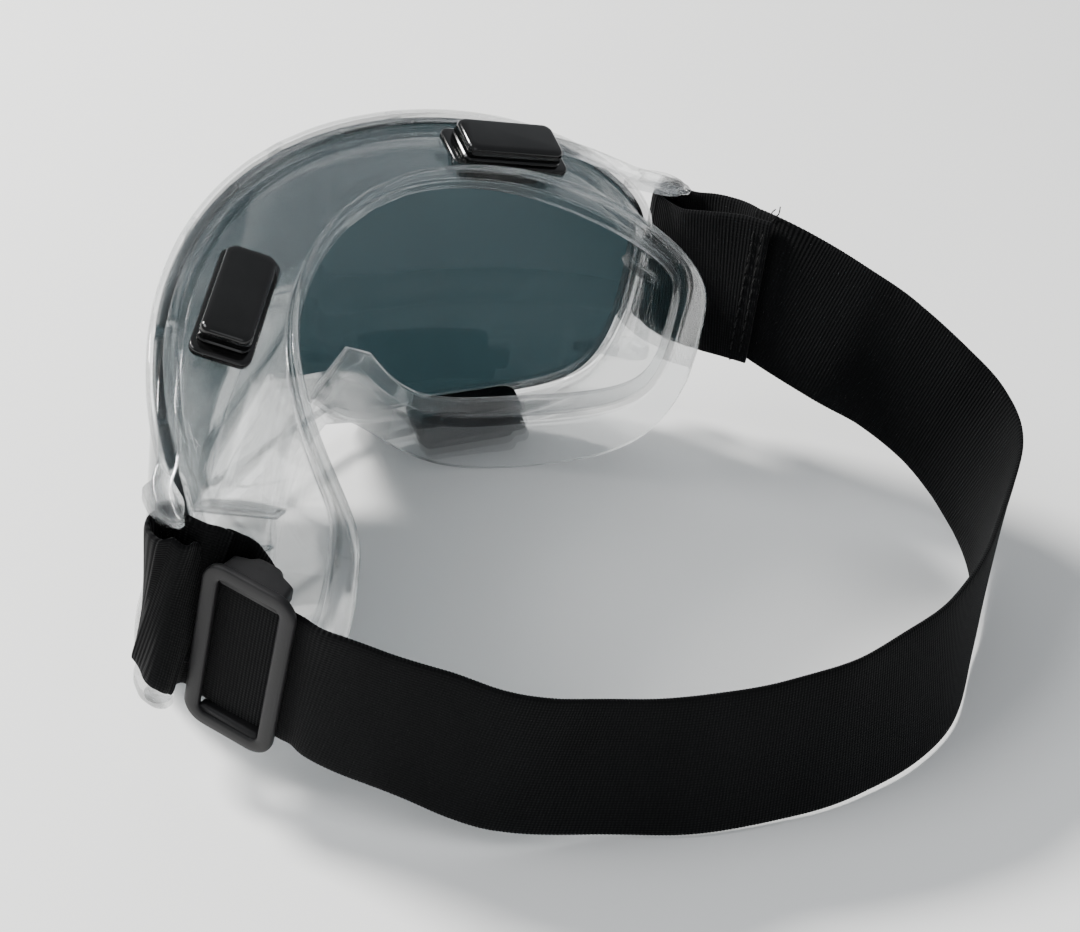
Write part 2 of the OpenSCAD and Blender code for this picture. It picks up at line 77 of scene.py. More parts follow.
# The front's plan curve and the face curve
FRONT_A = 88.0
FRONT_B = 65.0
FRONT_FULL = 1.88
FLANGE_BACK = 28.0
FACE_DEPTH = 65.0
FACE_SHARE = 0.98
FLANGE_T = 2.2
# The flange leans forward over the nose
NOSE_LEAN = 8.0
NOSE_LEAN_W = 28.0
NOSE_LEAN_TOP = 62.0
NOSE_LEAN_H = 40.0
# Rim, soft wall and lens groove
RIM_DEPTH = 6.0
RIM_LIP = 5.0
WALL_T = 2.0
WALL_ROOT = 1.6
WALL_SEAT = 0.3
WALL_BEHIND = 1.2
FACE_ROUND = 0.8
GROOVE_FRONT = 1.4
GROOVE_BOTTOM = 2.0
LENS_T = 2.0
LENS_GAP = 0.1
GROOVE_BACK = GROOVE_FRONT + LENS_T + 2 * LENS_GAP
# Ears
POST_X = 90.8
POST_Y = 54.5
POST_R = 2.0
POST_Z = (21.0, 70.0)
ARM_T = 2.5
HIGH_ROOT = 82.0
LOW_ROOT = 79.5
ARM_CORNERS = ((-0.5, 8), (2.4, 3), (2.4, -1.2), (1, -3.2), (-1.4, -3.2), (-4, -0.6))
# Clips at the lens's top edge
CLIP_XS = (-35.0, 0.0, 35.0)
CLIP_HALF_W = 2.4
# Vents
VENT_L = 31.0
VENT_W = 13.5
VENT_BASE_T = 2.0
HOOD_H = 4.5
SPIGOT = (22.0, 7.0)
SPIGOT_H = 5.2
VENT_X = 47.0
VENT_SEAT = 0.4
HOOD_L = VENT_L - 5
HOOD_W = VENT_W - 2
# Elastic
STRAP_W = 38.0
STRAP_T = 1.6
FOLD_R = 3.4
LEFT_Z = 50.0
RIGHT_Z = 50.5
RIGHT_LEAN = 7.0
# The elastic shears rather than tips where its path is steep or its slope changes fast
MAX_SLOPE = 0.22
SLOPE_SPAN = 12.0
RIB_PITCH = 0.8
LINE_PITCH = 0.7
# Slider, on the elastic's straight stretch
SLIDE_MID = (-83.8, -71.4, 39.0)
SLIDE_AIM = (0.16, -0.98, -0.09)
SLIDE_LEAN = -1.5
SLIDER_L = 22.0
SLIDER_H = 48.0
SLIDER_T = 2.0
BAR_W = 3.6
BAR_GAP = 0.6
TAIL_T = 1.2
TAIL_GAP = 0.2
MIDDLE_BAR = (4.0, 1.8)
RAIL = (SLIDER_H - STRAP_W) / 2 - 0.4
# Middle of the slider's ring and near side of its middle bar, inwards from the elastic's middle
RING_Y = -STRAP_T / 2 - BAR_GAP - SLIDER_T / 2
BAR_Y = STRAP_T / 2 + BAR_GAP + TAIL_T + TAIL_GAP
# Degrees by which the outline's stations crowd towards its corners
CROWDING = 11.0

# The frame's own middle and front, as the solid model has them
shell_low, shell_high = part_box("frame_body")
HOME = ((shell_low.x + shell_high.x) / 2, shell_high.y, 0.0)


def place(p):
    """A point of the goggles' own millimetre frame as a point of the CAD frame."""
    return (HOME[0] + p[0] / 1000, HOME[1] + p[1] / 1000, HOME[2] + p[2] / 1000)


# ---------- curves of the frame ----------
def spow(v, p):
    return math.copysign(abs(v) ** p, v)


def unit(v):
    v = np.asarray(v, float)
    return v / max(1e-9, np.linalg.norm(v))


def shield(s, u):
    """Point at angle u on a shield outline, in the plane seen from the front."""
    power = 2 / (s["low_square"] if math.sin(math.radians(u)) < 0 else s["square"])
    sx = spow(math.cos(math.radians(u)), power)
    sz = spow(math.sin(math.radians(u)), power)
    low = max(0.0, -sz)
    x = s["half"] * sx * (1 - s["taper"] * low * low)
    mid = (s["low"] + s["top"]) / 2
    half = (s["top"] - s["low"]) / 2
    nose = s["nose"] * math.exp(-((x / s["nose_w"]) ** 2)) * low
    return np.array([x, mid + half * sz - s["drop"] * sx * sx * max(0.0, sz) + nose])


def front_y(x):
    return -FRONT_B * (1 - max(0.0, 1 - (abs(x) / FRONT_A) ** FRONT_FULL) ** (1 / FRONT_FULL))


def face_y(x):
    return -FLANGE_BACK - FACE_DEPTH * (1 - math.sqrt(max(0.0, 1 - FACE_SHARE * (x / FLANGE["half"]) ** 2)))


def inward(curve, limit, x):
    """Unit vector square to a plan curve, pointing back towards the face."""
    step = 0.1
    a = max(step - limit, min(limit - step, x))
    return unit([(curve(a + step) - curve(a - step)) / (2 * step), -1, 0])


def front_in(x):
    return inward(front_y, FRONT_A, x)


def face_in(x):
    return inward(face_y, FLANGE["half"], x)


def crowded(t):
    """Angle on an outline, with stations crowded where the outline turns."""
    return t - CROWDING * math.sin(math.radians(4 * t))


def rim_point(u):
    x, z = shield(RIM, u)
    return np.array([x, front_y(x), z])


def rim_offset(u, a, b):
    """Point a millimetres in from the rim's outside along the lens, and b millimetres back."""
    p = rim_point(u)
    along = unit(rim_point(u + 0.2) - rim_point(u - 0.2))
    back = front_in(p[0])
    return p + unit(np.cross(back, along)) * a + back * b


def on_face(p):
    share = max(0.0, min(1.0, (NOSE_LEAN_TOP - p[1]) / NOSE_LEAN_H))
    forward = NOSE_LEAN * math.exp(-((p[0] / NOSE_LEAN_W) ** 2)) * share
    return np.array([p[0], face_y(p[0]) + forward, p[1]])


def face_point(u, share, depth):
    """Point on the flange: share 0 at the opening and 1 at the outer edge, depth behind its front face."""
    p = shield(OPENING, u) * (1 - share) + shield(FLANGE, u) * share
    return on_face(p) + face_in(p[0]) * depth


def wall_share(u, out):
    width = np.linalg.norm(on_face(shield(FLANGE, u)) - on_face(shield(OPENING, u)))
    return WALL_SEAT + out / width


# ---------- mesh helpers ----------
BEVEL_FROM_DEG = 35
# Signs of a rectangle's four corners
QUAD = ((1, 1), (-1, 1), (-1, -1), (1, -1))


def new_mesh(name, points, faces):
    """Smooth-shaded mesh object from points in millimetres."""
    mesh = bpy.data.meshes.new(name)
    mesh.from_pydata([place(p) for p in points], [], faces)
    mesh.validate()
    mesh.update()
    mesh.polygons.foreach_set("use_smooth", [True] * len(mesh.polygons))
    obj = bpy.data.objects.new(name, mesh)
    bpy.context.scene.collection.objects.link(obj)
    return obj


def outward(obj):
    """Turns every face of a closed mesh outwards."""
    bm = bmesh.new()
    bm.from_mesh(obj.data)
    bmesh.ops.recalc_face_normals(bm, faces=bm.faces)
    bm.to_mesh(obj.data)
    bm.free()
    return obj


def loft(name, rings, closed=False):
    """Skin over rings of equal size; an open chain gets its two ends closed."""
    count, size = len(rings), len(rings[0])
    points = [p for r in rings for p in r]
    faces = []
    for i in range(count if closed else count - 1):
        for j in range(size):
            k = (j + 1) % size
            i2 = (i + 1) % count
            faces.append((i * size + j, i * size + k, i2 * size + k, i2 * size + j))
    if not closed:
        faces.append(tuple(range(size - 1, -1, -1)))
        faces.append(tuple((count - 1) * size + j for j in range(size)))
    return outward(new_mesh(name, points, faces))


def soften(corners, radius, steps=3):
    """Rounds each corner of a closed loop of points."""
    out = []
    n = len(corners)
    for i in range(n):
        c, a, b = (np.asarray(corners[k % n], float) for k in (i, i - 1, i + 1))
        r = min(radius[i], 0.45 * np.linalg.norm(a - c), 0.45 * np.linalg.norm(b - c))
        start, end = c + unit(a - c) * r, c + unit(b - c) * r
        for k in range(steps + 1):
            t = k / steps
            out.append(start * (1 - t) ** 2 + c * 2 * t * (1 - t) + end * t * t)
    return out


def bevel(obj, width_mm, segments=3):
    m = obj.modifiers.new("Bevel", "BEVEL")
    m.width = width_mm / 1000
    m.segments = segments
    m.limit_method = "ANGLE"
    m.angle_limit = math.radians(BEVEL_FROM_DEG)
    m.harden_normals = False


def joined(name, parts):
    """Parts of one moulded piece as one object."""
    bpy.ops.object.select_all(action="DESELECT")
    for p in parts:
        bpy.context.view_layer.objects.active = p
        for m in list(p.modifiers):
            bpy.ops.object.modifier_apply(modifier=m.name)
    for p in parts:
        p.select_set(True)
    bpy.context.view_layer.objects.active = parts[0]
    bpy.ops.object.join()
    parts[0].name = name
    return parts[0]


def dress(obj, material, body=None, nodes=()):
    """Gives a piece its material and slot, the body it rides and the solids it replaces."""
    obj.data.materials.clear()
    obj.data.materials.append(material)
    if nodes:
        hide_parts(*nodes)
    if body:
        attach(obj, body)
    return obj


# ---------- materials ----------
# Places of the colour sockets on a mix node
MIX_COLOUR_A = 6
MIX_COLOUR_B = 7
MIX_RESULT = 2
LINT = (0.022, 0.023, 0.025, 1)


class Nodes:
    """A node material being built."""

    def __init__(self, name):
        self.material = bpy.data.materials.new(name)
        self.material.use_nodes = True
        self.tree = self.material.node_tree
        self.shader = self.tree.nodes["Principled BSDF"]

    def add(self, kind, **settings):
        node = self.tree.nodes.new(kind)
        for key, value in settings.items():
            if key in node.inputs:
                node.inputs[key].default_value = value
            else:
                setattr(node, key, value)
        return node

    def link(self, a, out, b, socket):
        self.tree.links.new(a.outputs[out], b.inputs[socket])

    def set(self, **values):
        for key, value in values.items():
            self.shader.inputs[key.replace("_", " ")].default_value = value

    def ramp(self, source, out, stops):
        ramp = self.add("ShaderNodeValToRGB")
        ramp.color_ramp.elements[0].position, ramp.color_ramp.elements[0].color = stops[0]
        ramp.color_ramp.elements[1].position, ramp.color_ramp.elements[1].color = stops[-1]
        for position, colour in stops[1:-1]:
            ramp.color_ramp.elements.new(position).color = colour
        self.link(source, out, ramp, "Fac")
        return ramp

    def bump(self, source, out, strength, distance_mm, after=None):
        bump = self.add("ShaderNodeBump", Strength=strength, Distance=distance_mm / 1000)
        self.link(source, out, bump, "Height")
        if after:
            self.link(after, "Normal", bump, "Normal")
        self.link(bump, "Normal", self.shader, "Normal")
        return bump

    def noise(self, scale, detail, coords):
        """Noise on the object's own coordinates, or on a mapping's scaled ones."""
        noise = self.add("ShaderNodeTexNoise", Scale=scale, Detail=detail)
        self.link(coords, "Vector" if "Vector" in coords.outputs else "Object", noise, "Vector")
        return noise

    def roughness(self, source, low, high):
        span = self.add("ShaderNodeMapRange")
        span.inputs["To Min"].default_value = low
        span.inputs["To Max"].default_value = high
        self.link(source, "Fac", span, "Value")
        self.link(span, "Result", self.shader, "Roughness")


def grey(v):
    return (v, v, v, 1)


def clear_pvc():
    n = Nodes("clear_pvc")
    n.set(Transmission_Weight=1.0, IOR=1.45, Alpha=0.46, Specular_IOR_Level=1.0)
    coords = n.add("ShaderNodeTexCoord")
    haze = n.noise(45.0, 4.0, coords)
    tint = n.ramp(haze, "Fac", [(0.35, (0.93, 0.965, 0.975, 1)), (0.7, (0.98, 0.99, 0.995, 1))])
    n.link(tint, "Color", n.shader, "Base Color")
    n.roughness(haze, 0.02, 0.07)
    ripple = n.noise(160.0, 2.0, coords)
    n.bump(ripple, "Fac", 0.15, 0.2)
    return n.material


def smoke_lens():
    n = Nodes("smoke_lens")
    n.set(Transmission_Weight=0.9, IOR=1.5, Alpha=0.97, Specular_IOR_Level=0.6)
    coords = n.add("ShaderNodeTexCoord")
    cloud = n.noise(14.0, 2.0, coords)
    tint = n.ramp(cloud, "Fac", [(0.3, (0.009, 0.024, 0.029, 1)), (0.7, (0.014, 0.032, 0.038, 1))])
    n.link(tint, "Color", n.shader, "Base Color")
    dust = n.noise(320.0, 3.0, coords)
    n.roughness(dust, 0.02, 0.07)
    n.bump(cloud, "Fac", 0.05, 0.4)
    return n.material


def dark_edge():
    n = Nodes("dark_lens_edge")
    n.set(Specular_IOR_Level=0.4)
    coords = n.add("ShaderNodeTexCoord")
    streak = n.noise(60.0, 3.0, coords)
    tint = n.ramp(streak, "Fac", [(0.3, (0.006, 0.010, 0.011, 1)), (0.75, (0.020, 0.030, 0.032, 1))])
    n.link(tint, "Color", n.shader, "Base Color")
    n.roughness(streak, 0.2, 0.4)
    n.bump(streak, "Fac", 0.2, 0.1)
    return n.material


def gloss_black():
    n = Nodes("gloss_black")
    n.set(Specular_IOR_Level=0.32, Coat_Weight=0.12, Coat_Roughness=0.04)
    coords = n.add("ShaderNodeTexCoord")
    flow = n.noise(120.0, 4.0, coords)
    tint = n.ramp(flow, "Fac", [(0.3, grey(0.002)), (0.8, grey(0.005))])
    n.link(tint, "Color", n.shader, "Base Color")
    n.roughness(flow, 0.06, 0.16)
    grain = n.noise(900.0, 2.0, coords)
    n.bump(grain, "Fac", 0.12, 0.08)
    return n.material


def satin_grey():
    n = Nodes("satin_grey")
    n.set(Specular_IOR_Level=0.22)
    coords = n.add("ShaderNodeTexCoord")
    wear = n.noise(70.0, 5.0, coords)
    tint = n.ramp(wear, "Fac", [(0.3, grey(0.007)), (0.75, (0.013, 0.0125, 0.014, 1))])
    n.link(tint, "Color", n.shader, "Base Color")
    n.roughness(wear, 0.42, 0.6)
    grain = n.noise(1400.0, 2.0, coords)
    n.bump(grain, "Fac", 0.35, 0.06)
    return n.material


def woven(name, base, light):
    """Elastic webbing: ribs across it, lines along it and a little lint. The weave map is in millimetres."""
    n = Nodes(name)
    n.set(Specular_IOR_Level=0.08, Sheen_Weight=0.03, Sheen_Roughness=0.5)
    uv = n.add("ShaderNodeUVMap", uv_map="weave")
    split = n.add("ShaderNodeSeparateXYZ")
    n.link(uv, "UV", split, "Vector")
    ribs = []
    for axis, pitch in (("X", RIB_PITCH), ("Y", LINE_PITCH)):
        turn = n.add("ShaderNodeMath", operation="MULTIPLY")
        turn.inputs[1].default_value = 2 * math.pi / pitch
        wave = n.add("ShaderNodeMath", operation="SINE")
        n.link(split, axis, turn, 0)
        n.link(turn, "Value", wave, 0)
        ribs.append(wave)
    weave = n.add("ShaderNodeMath", operation="MULTIPLY_ADD")
    weave.inputs[1].default_value = 0.35
    n.link(ribs[1], "Value", weave, 0)
    n.link(ribs[0], "Value", weave, 2)
    scaled = n.add("ShaderNodeMapping")
    scaled.inputs["Scale"].default_value = (0.9, 0.45, 1.0)
    n.link(uv, "UV", scaled, "Vector")
    fluff = n.noise(3.0, 6.0, scaled)
    patch = n.noise(0.06, 3.0, scaled)
    tone = n.add("ShaderNodeMath", operation="MULTIPLY_ADD")
    tone.inputs[1].default_value = 0.10
    n.link(weave, "Value", tone, 0)
    n.link(patch, "Fac", tone, 2)
    tint = n.ramp(tone, "Value", [(0.25, base), (0.85, light)])
    lint = n.ramp(fluff, "Fac", [(0.70, grey(0.0)), (0.80, grey(1.0))])
    mix = n.add("ShaderNodeMix", data_type="RGBA")
    n.link(lint, "Color", mix, "Factor")
    n.link(tint, "Color", mix, MIX_COLOUR_A)
    mix.inputs[MIX_COLOUR_B].default_value = LINT
    n.link(mix, MIX_RESULT, n.shader, "Base Color")
    n.roughness(fluff, 0.75, 0.95)
    first = n.bump(fluff, "Fac", 0.4, 0.15)
    n.bump(weave, "Value", 0.5, 0.18, after=first)
    return n.material


def thread():
    n = Nodes("thread")
    n.set(Specular_IOR_Level=0.15, Sheen_Weight=0.04)
    coords = n.add("ShaderNodeTexCoord")
    twist = n.add("ShaderNodeTexWave", Scale=900.0, Distortion=1.0)
    n.link(coords, "Object", twist, "Vector")
    tint = n.ramp(twist, "Fac", [(0.2, grey(0.003)), (0.9, grey(0.012))])
    n.link(tint, "Color", n.shader, "Base Color")
    n.set(Roughness=0.7)
    n.bump(twist, "Fac", 0.5, 0.1)
    return n.material


def paper_floor():
    n = Nodes("floor")
    n.set(Specular_IOR_Level=0.35)
    coords = n.add("ShaderNodeTexCoord")
    grain = n.noise(3.0, 4.0, coords)
    tint = n.ramp(grain, "Fac", [(0.3, (0.86, 0.86, 0.85, 1)), (0.7, (0.90, 0.90, 0.89, 1))])
    n.link(tint, "Color", n.shader, "Base Color")
    n.roughness(grain, 0.45, 0.6)
    return n.material


PVC = clear_pvc()
SMOKE = smoke_lens()
EDGE = dark_edge()
GLOSS = gloss_black()
SATIN = satin_grey()
ELASTIC = woven("elastic_black", (0.0013, 0.0014, 0.0016, 1), (0.0038, 0.0040, 0.0044, 1))
THREAD = thread()


# ---------- camera, floor and light ----------
AZIMUTH, ELEVATION, ROLL = math.radians(-59.9), math.radians(38.4), math.radians(10.3)
LENS_MM = 76.8
SENSOR_MM = 36
NEAR_CLIP = 0.01
DISTANCE = 0.551
AIM = (20.45, -72.1, 30.2)
LIGHT_AIM = (0, 0, 0.03)
FLOOR_SIZE = 8
FLOOR_DROP = 0.0002
WORLD_COLOUR = (0.86, 0.90, 0.94, 1)
WORLD_STRENGTH = 0.56


def camera():
    level = math.cos(ELEVATION)
    back = Vector((math.sin(AZIMUTH) * level, -math.cos(AZIMUTH) * level, math.sin(ELEVATION)))
    right = Vector((math.cos(AZIMUTH), math.sin(AZIMUTH), 0))
    up = back.cross(right)
    turned_right = right * math.cos(ROLL) + up * math.sin(ROLL)
    turned_up = up * math.cos(ROLL) - right * math.sin(ROLL)
    data = bpy.data.cameras.new("camera")
    data.lens = LENS_MM
    data.sensor_width = SENSOR_MM
    data.clip_start = NEAR_CLIP
    cam = bpy.data.objects.new("camera", data)
    bpy.context.scene.collection.objects.link(cam)
    axes = Matrix((turned_right, turned_up, back)).transposed().to_4x4()
    cam.matrix_world = Matrix.Translation(Vector(place(AIM)) + back * DISTANCE) @ axes
    bpy.context.scene.camera = cam


def area_light(name, where, size, power, colour):
    data = bpy.data.lights.new(name, "AREA")
    data.shape = "DISK"
    data.size = size
    data.energy = power
    data.color = colour
    lamp = bpy.data.objects.new(name, data)
    bpy.context.scene.collection.objects.link(lamp)
    lamp.location = where
    lamp.rotation_euler = (Vector(LIGHT_AIM) - Vector(where)).to_track_quat("-Z", "Y").to_euler()


def studio():
    bpy.ops.mesh.primitive_grid_add(
        x_subdivisions=4, y_subdivisions=4, size=FLOOR_SIZE, location=(0, 0, cad_box[0][2] - FLOOR_DROP))
    floor = bpy.context.object
    floor.name = "floor"
    floor.data.materials.append(paper_floor())
    floor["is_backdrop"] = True
    area_light("key", (-0.35, 1.25, 0.95), 0.30, 62, (1.0, 0.985, 0.96))
    area_light("top", (-0.9, 0.8, 1.3), 0.8, 16, (0.97, 0.985, 1.0))
    area_light("fill", (-1.2, -1.0, 0.8), 1.0, 3, (0.97, 0.985, 1.0))
    world = bpy.data.worlds.new("studio")
    world.use_nodes = True
    background = world.node_tree.nodes["Background"]
    background.inputs["Color"].default_value = WORLD_COLOUR
    background.inputs["Strength"].default_value = WORLD_STRENGTH
    bpy.context.scene.world = world


# ---------- frame ----------
def shell_section(u):
    """Section of the moulded frame: rim, soft wall, flange and lens groove, each corner with its rounding."""
    outer, inner = wall_share(u, WALL_T), wall_share(u, 0)
    corners = [
        (rim_offset(u, RIM_LIP - FACE_ROUND, 0), 0.6),
        (rim_offset(u, 0, 0), 1.5),
        (rim_offset(u, 0, RIM_DEPTH), 1.4),
        (rim_offset(u, WALL_ROOT, RIM_DEPTH + 0.3), 0.8),
        (face_point(u, outer, 0), 1.6),
        (face_point(u, 1, 0.1), 0.8),
        (face_point(u, 1, FLANGE_T - 0.1), 0.8),
        (face_point(u, 0.5, FLANGE_T), 0.3),
        (face_point(u, 0, FLANGE_T - 0.1), 0.8),
        (face_point(u, 0, 0.1), 0.8),
        (face_point(u, inner, 0), 1.0),
        (rim_offset(u, WALL_ROOT + WALL_T, RIM_DEPTH + WALL_BEHIND), 0.8),
        (rim_offset(u, RIM_LIP, RIM_DEPTH), 0.5),
        (rim_offset(u, RIM_LIP, GROOVE_BACK), 0.4),
        (rim_offset(u, GROOVE_BOTTOM, GROOVE_BACK), 0.2),
        (rim_offset(u, GROOVE_BOTTOM, GROOVE_FRONT), 0.2),
        (rim_offset(u, RIM_LIP, GROOVE_FRONT), 0.4),
    ]
    return soften([c[0] for c in corners], [c[1] for c in corners])


def frame_shell():
    stations = 400
    rings = [shell_section(crowded(360 * i / stations)) for i in range(stations)]
    shell = loft("frame_shell", rings, closed=True)
    return dress(shell, PVC, "goggles", ("frame_body", "face_flange"))


def arm_outline(root):
    """Plan of an arm, from its root in the rim to the corners round the post."""
    roots = [(root, front_y(root) - 1.5), (root + 2, front_y(root + 2) + 1.5)]
    return roots + [(POST_X + dx, -POST_Y + dy) for dx, dy in ARM_CORNERS]


def plate(name, outline, z0, z1, side, edge):
    """Flat plate with rounded corners and edges."""
    rounded = soften([np.array([x, y, 0.0]) for x, y in outline], [1.6] * len(outline), 4)
    rings = [[(p[0] * side, p[1], z) for p in rounded] for z in (z0, z1)]
    obj = loft(name, rings)
    bevel(obj, edge)
    return obj


def post(name, side):
    """Round strap post that swells into the arms at both ends."""
    z0, z1 = POST_Z
    swells = [(-0.5, 1.1), (0.0, 1.0), (0.6, 0.35), (1.6, 0.0)]
    heights = [(z0 + inside, swell) for inside, swell in swells]
    heights += [(z1 - inside, swell) for inside, swell in swells[::-1]]
    rings = []
    for z, swell in heights:
        r = POST_R - 0.05 + swell
        rings.append([(side * POST_X + r * math.cos(t), -POST_Y + r * math.sin(t), z)
                      for t in np.linspace(0, 2 * math.pi, 32, endpoint=False)])
    return loft(name, rings)


BRACE_STEP = 1.2


def brace(name, side):
    """The band that runs on from the rim's top corner to the hooked tip over the post."""
    behind_front = [(58, 6.5, 84.5, 4.5, 2.4), (66, 6.5, 82.6, 4.6, 2.6), (74, 5.5, 79.4, 4.6, 2.8),
                    (81.5, 3.0, 75.4, 4.4, 2.9)]
    stations = [(x, front_y(x) - y, z, width, height) for x, y, z, width, height in behind_front]
    stations += [(87, -49.0, 72.6, 4.2, 2.8), (90.6, -54.2, 71.4, 4.2, 2.5), (91.6, -57.6, 71.2, 3.4, 2.1),
                 (91.8, -59.2, 71.1, 1.8, 1.2)]
    path, _ = catmull([s[:4] for s in stations], BRACE_STEP)
    high, _ = catmull([s[:3] + (s[4],) for s in stations], BRACE_STEP)
    rings = []
    for i, p in enumerate(path):
        a, b = path[max(0, i - 1)], path[min(len(path) - 1, i + 1)]
        d = unit(b[:3] - a[:3])
        out = unit(np.cross(d, (0, 0, 1)))
        up = unit(np.cross(out, d))
        ring = []
        for t in np.linspace(0, 2 * math.pi, 20, endpoint=False):
            across = out * spow(math.cos(t), 0.6) * p[3] / 2
            q = p[:3] + across + up * spow(math.sin(t), 0.6) * high[i][3] / 2
            ring.append((side * q[0], q[1], q[2]))
        rings.append(ring)
    return loft(name, rings)


def ear(name, side):
    parts = [
        plate("arm", arm_outline(HIGH_ROOT), POST_Z[1], POST_Z[1] + ARM_T, side, 0.9),
        plate("arm", arm_outline(LOW_ROOT), POST_Z[0] - ARM_T, POST_Z[0], side, 0.9),
        post("post", side),
        brace("brace", side),
    ]
    return dress(joined("ear_moulding_" + name, parts), PVC, "goggles", ("ear_" + name,))


def end_ribs(name, side):
    """Shelf ribs moulded inside each end wall, between the lens groove and the flange."""
    parts = []
    for u, reach, width in ((10, 0.62, 5.0), (0.9, 0.55, 4.0)):
        near = rim_offset(u, RIM_LIP - 0.5, RIM_DEPTH)
        far = face_point(u, wall_share(u, 0), 0)
        rings = []
        for t in np.linspace(0, reach, 9):
            wall = near + (far - near) * t + np.array([0.8, 0, 0])
            tip = wall - np.array([width * math.sin(math.pi * (0.3 + 0.5 * t / reach)), 0, 0])
            section = ((wall, -0.6), (tip, -0.45), (tip, 0.45), (wall, 0.6))
            rings.append([(side * q[0], q[1], q[2] + h) for q, h in section])
        parts.append(loft("rib", rings))
    return dress(joined("end_ribs_" + name, parts), PVC, "goggles")


# ---------- lens ----------
def lens_sheet():
    """The lens, ruled from its top edge to its bottom edge and bent with the frame's front."""
    columns, rows = 160, 24
    angles = [crowded(2 + 176 * i / columns) for i in range(columns + 1)]
    front_depth = GROOVE_FRONT + LENS_GAP

    def edge(u):
        p = rim_offset(u, GROOVE_BOTTOM + LENS_GAP, 0)
        return np.array([p[0], p[2]])

    layers = []
    for depth in (front_depth, front_depth + LENS_T):
        layer = []
        for u in angles:
            top, low = edge(u), edge(-u)
            for j in range(rows + 1):
                q = top + (low - top) * j / rows
                layer.append(np.array([q[0], front_y(q[0]), q[1]]) + front_in(q[0]) * depth)
        layers.append(layer)
    w, n = rows + 1, len(layers[0])
    faces = []
    for base in (0, n):
        for i in range(columns):
            for j in range(rows):
                a = base + i * w + j
                faces.append((a, a + w, a + w + 1, a + 1))
    border = [i * w for i in range(columns + 1)] + [columns * w + j for j in range(1, w)]
    border += [i * w + rows for i in range(columns - 1, -1, -1)] + list(range(rows - 1, 0, -1))
    for k, a in enumerate(border):
        b = border[(k + 1) % len(border)]
        faces.append((a, b, b + n, a + n))
    sheet = outward(new_mesh("lens_sheet", layers[0] + layers[1], faces))
    bevel(sheet, 0.35, 2)
    return dress(sheet, SMOKE, "goggles", ("lens",))


# Angles of the groove's clear tabs round the outline, and half of one's width
TABS = (8, 38, 62, 90, 118, 142, 172, 205, 240, 262, 278, 300, 335)
TAB_HALF = 1.2


def lens_edge():
    """The lens's edge, dark through its thickness, in lengths between the clear tabs of the groove."""
    parts = []
    outer, inner = GROOVE_BOTTOM + 0.02, GROOVE_BOTTOM + 0.5
    front, back = GROOVE_FRONT + 0.03, GROOVE_FRONT + LENS_T + 0.15
    section = [(outer, front), (inner, front), (inner, back), (outer, back)]
    for tab, end in zip(TABS, TABS[1:] + (TABS[0] + 360,)):
        count = max(4, int((end - tab) / 1.5))
        rings = []
        for u in np.linspace(tab + TAB_HALF, end - TAB_HALF, count):
            rings.append([rim_offset(u, a, b) for a, b in section])
        parts.append(loft("edge", rings))
    return dress(joined("lens_edge", parts), EDGE, "goggles")


def clips():
    """Small clear clips over the lens's top edge."""
    parts = []
    for x in CLIP_XS:
        turn = math.atan2(front_in(x)[0], -front_in(x)[1])
        top = RIM["top"] - RIM["drop"] * (x / RIM["half"]) ** 2
        rings = []
        for z, grow in ((-7.0, 0.6), (-6.2, 0.0), (-3.2, 0.0), (-2.5, 0.5)):
            ring = []
            half = CLIP_HALF_W - grow
            for lx, ly in ((-half, -1.3), (half, -1.3), (half, 0.15), (-half, 0.15)):
                ring.append((x + lx * math.cos(turn) - ly * math.sin(turn),
                             front_y(x) + lx * math.sin(turn) + ly * math.cos(turn), top + z))
            rings.append(ring)
        clip = loft("clip", rings)
        bevel(clip, 0.35)
        parts.append(clip)
    return dress(joined("clips", parts), PVC, "goggles", ("lens_clips",))


# ---------- vents ----------
TOP_VENT = ((VENT_X, -31, 86.2), unit([26, -14.5, -6]), 10)
LOW_VENT = ((VENT_X + 1, -32, 8.6), unit([26, -14.5, 0]), 197)


def frame_of(middle, along, roll_deg, side=1):
    """Turns a point drawn round a vent or slider into the goggles' own frame."""
    turn = Matrix.Rotation(math.atan2(along[1], along[0]), 3, "Z")
    pitch = Matrix.Rotation(-math.asin(along[2]), 3, "Y")
    roll = Matrix.Rotation(math.radians(roll_deg), 3, "X")
    m = turn @ pitch @ roll

    def to_frame(p):
        q = m @ Vector(p)
        return (side * (middle[0] + q.x), middle[1] + q.y, middle[2] + q.z)

    return to_frame


def rounded_rect(length, width, r, steps=6):
    pts = []
    for cx, cy, start in ((1, 1, 0), (-1, 1, 90), (-1, -1, 180), (1, -1, 270)):
        for k in range(steps + 1):
            t = math.radians(start + 90 * k / steps)
            pts.append((cx * (length / 2 - r) + r * math.cos(t), cy * (width / 2 - r) + r * math.sin(t)))
    return pts


def stacked(name, to_frame, levels):
    """A body of rounded rectangles stacked along its own z: (z, length, width, corner)."""
    return loft(name, [[to_frame((x, y, z)) for x, y in rounded_rect(l, w, r)] for z, l, w, r in levels])


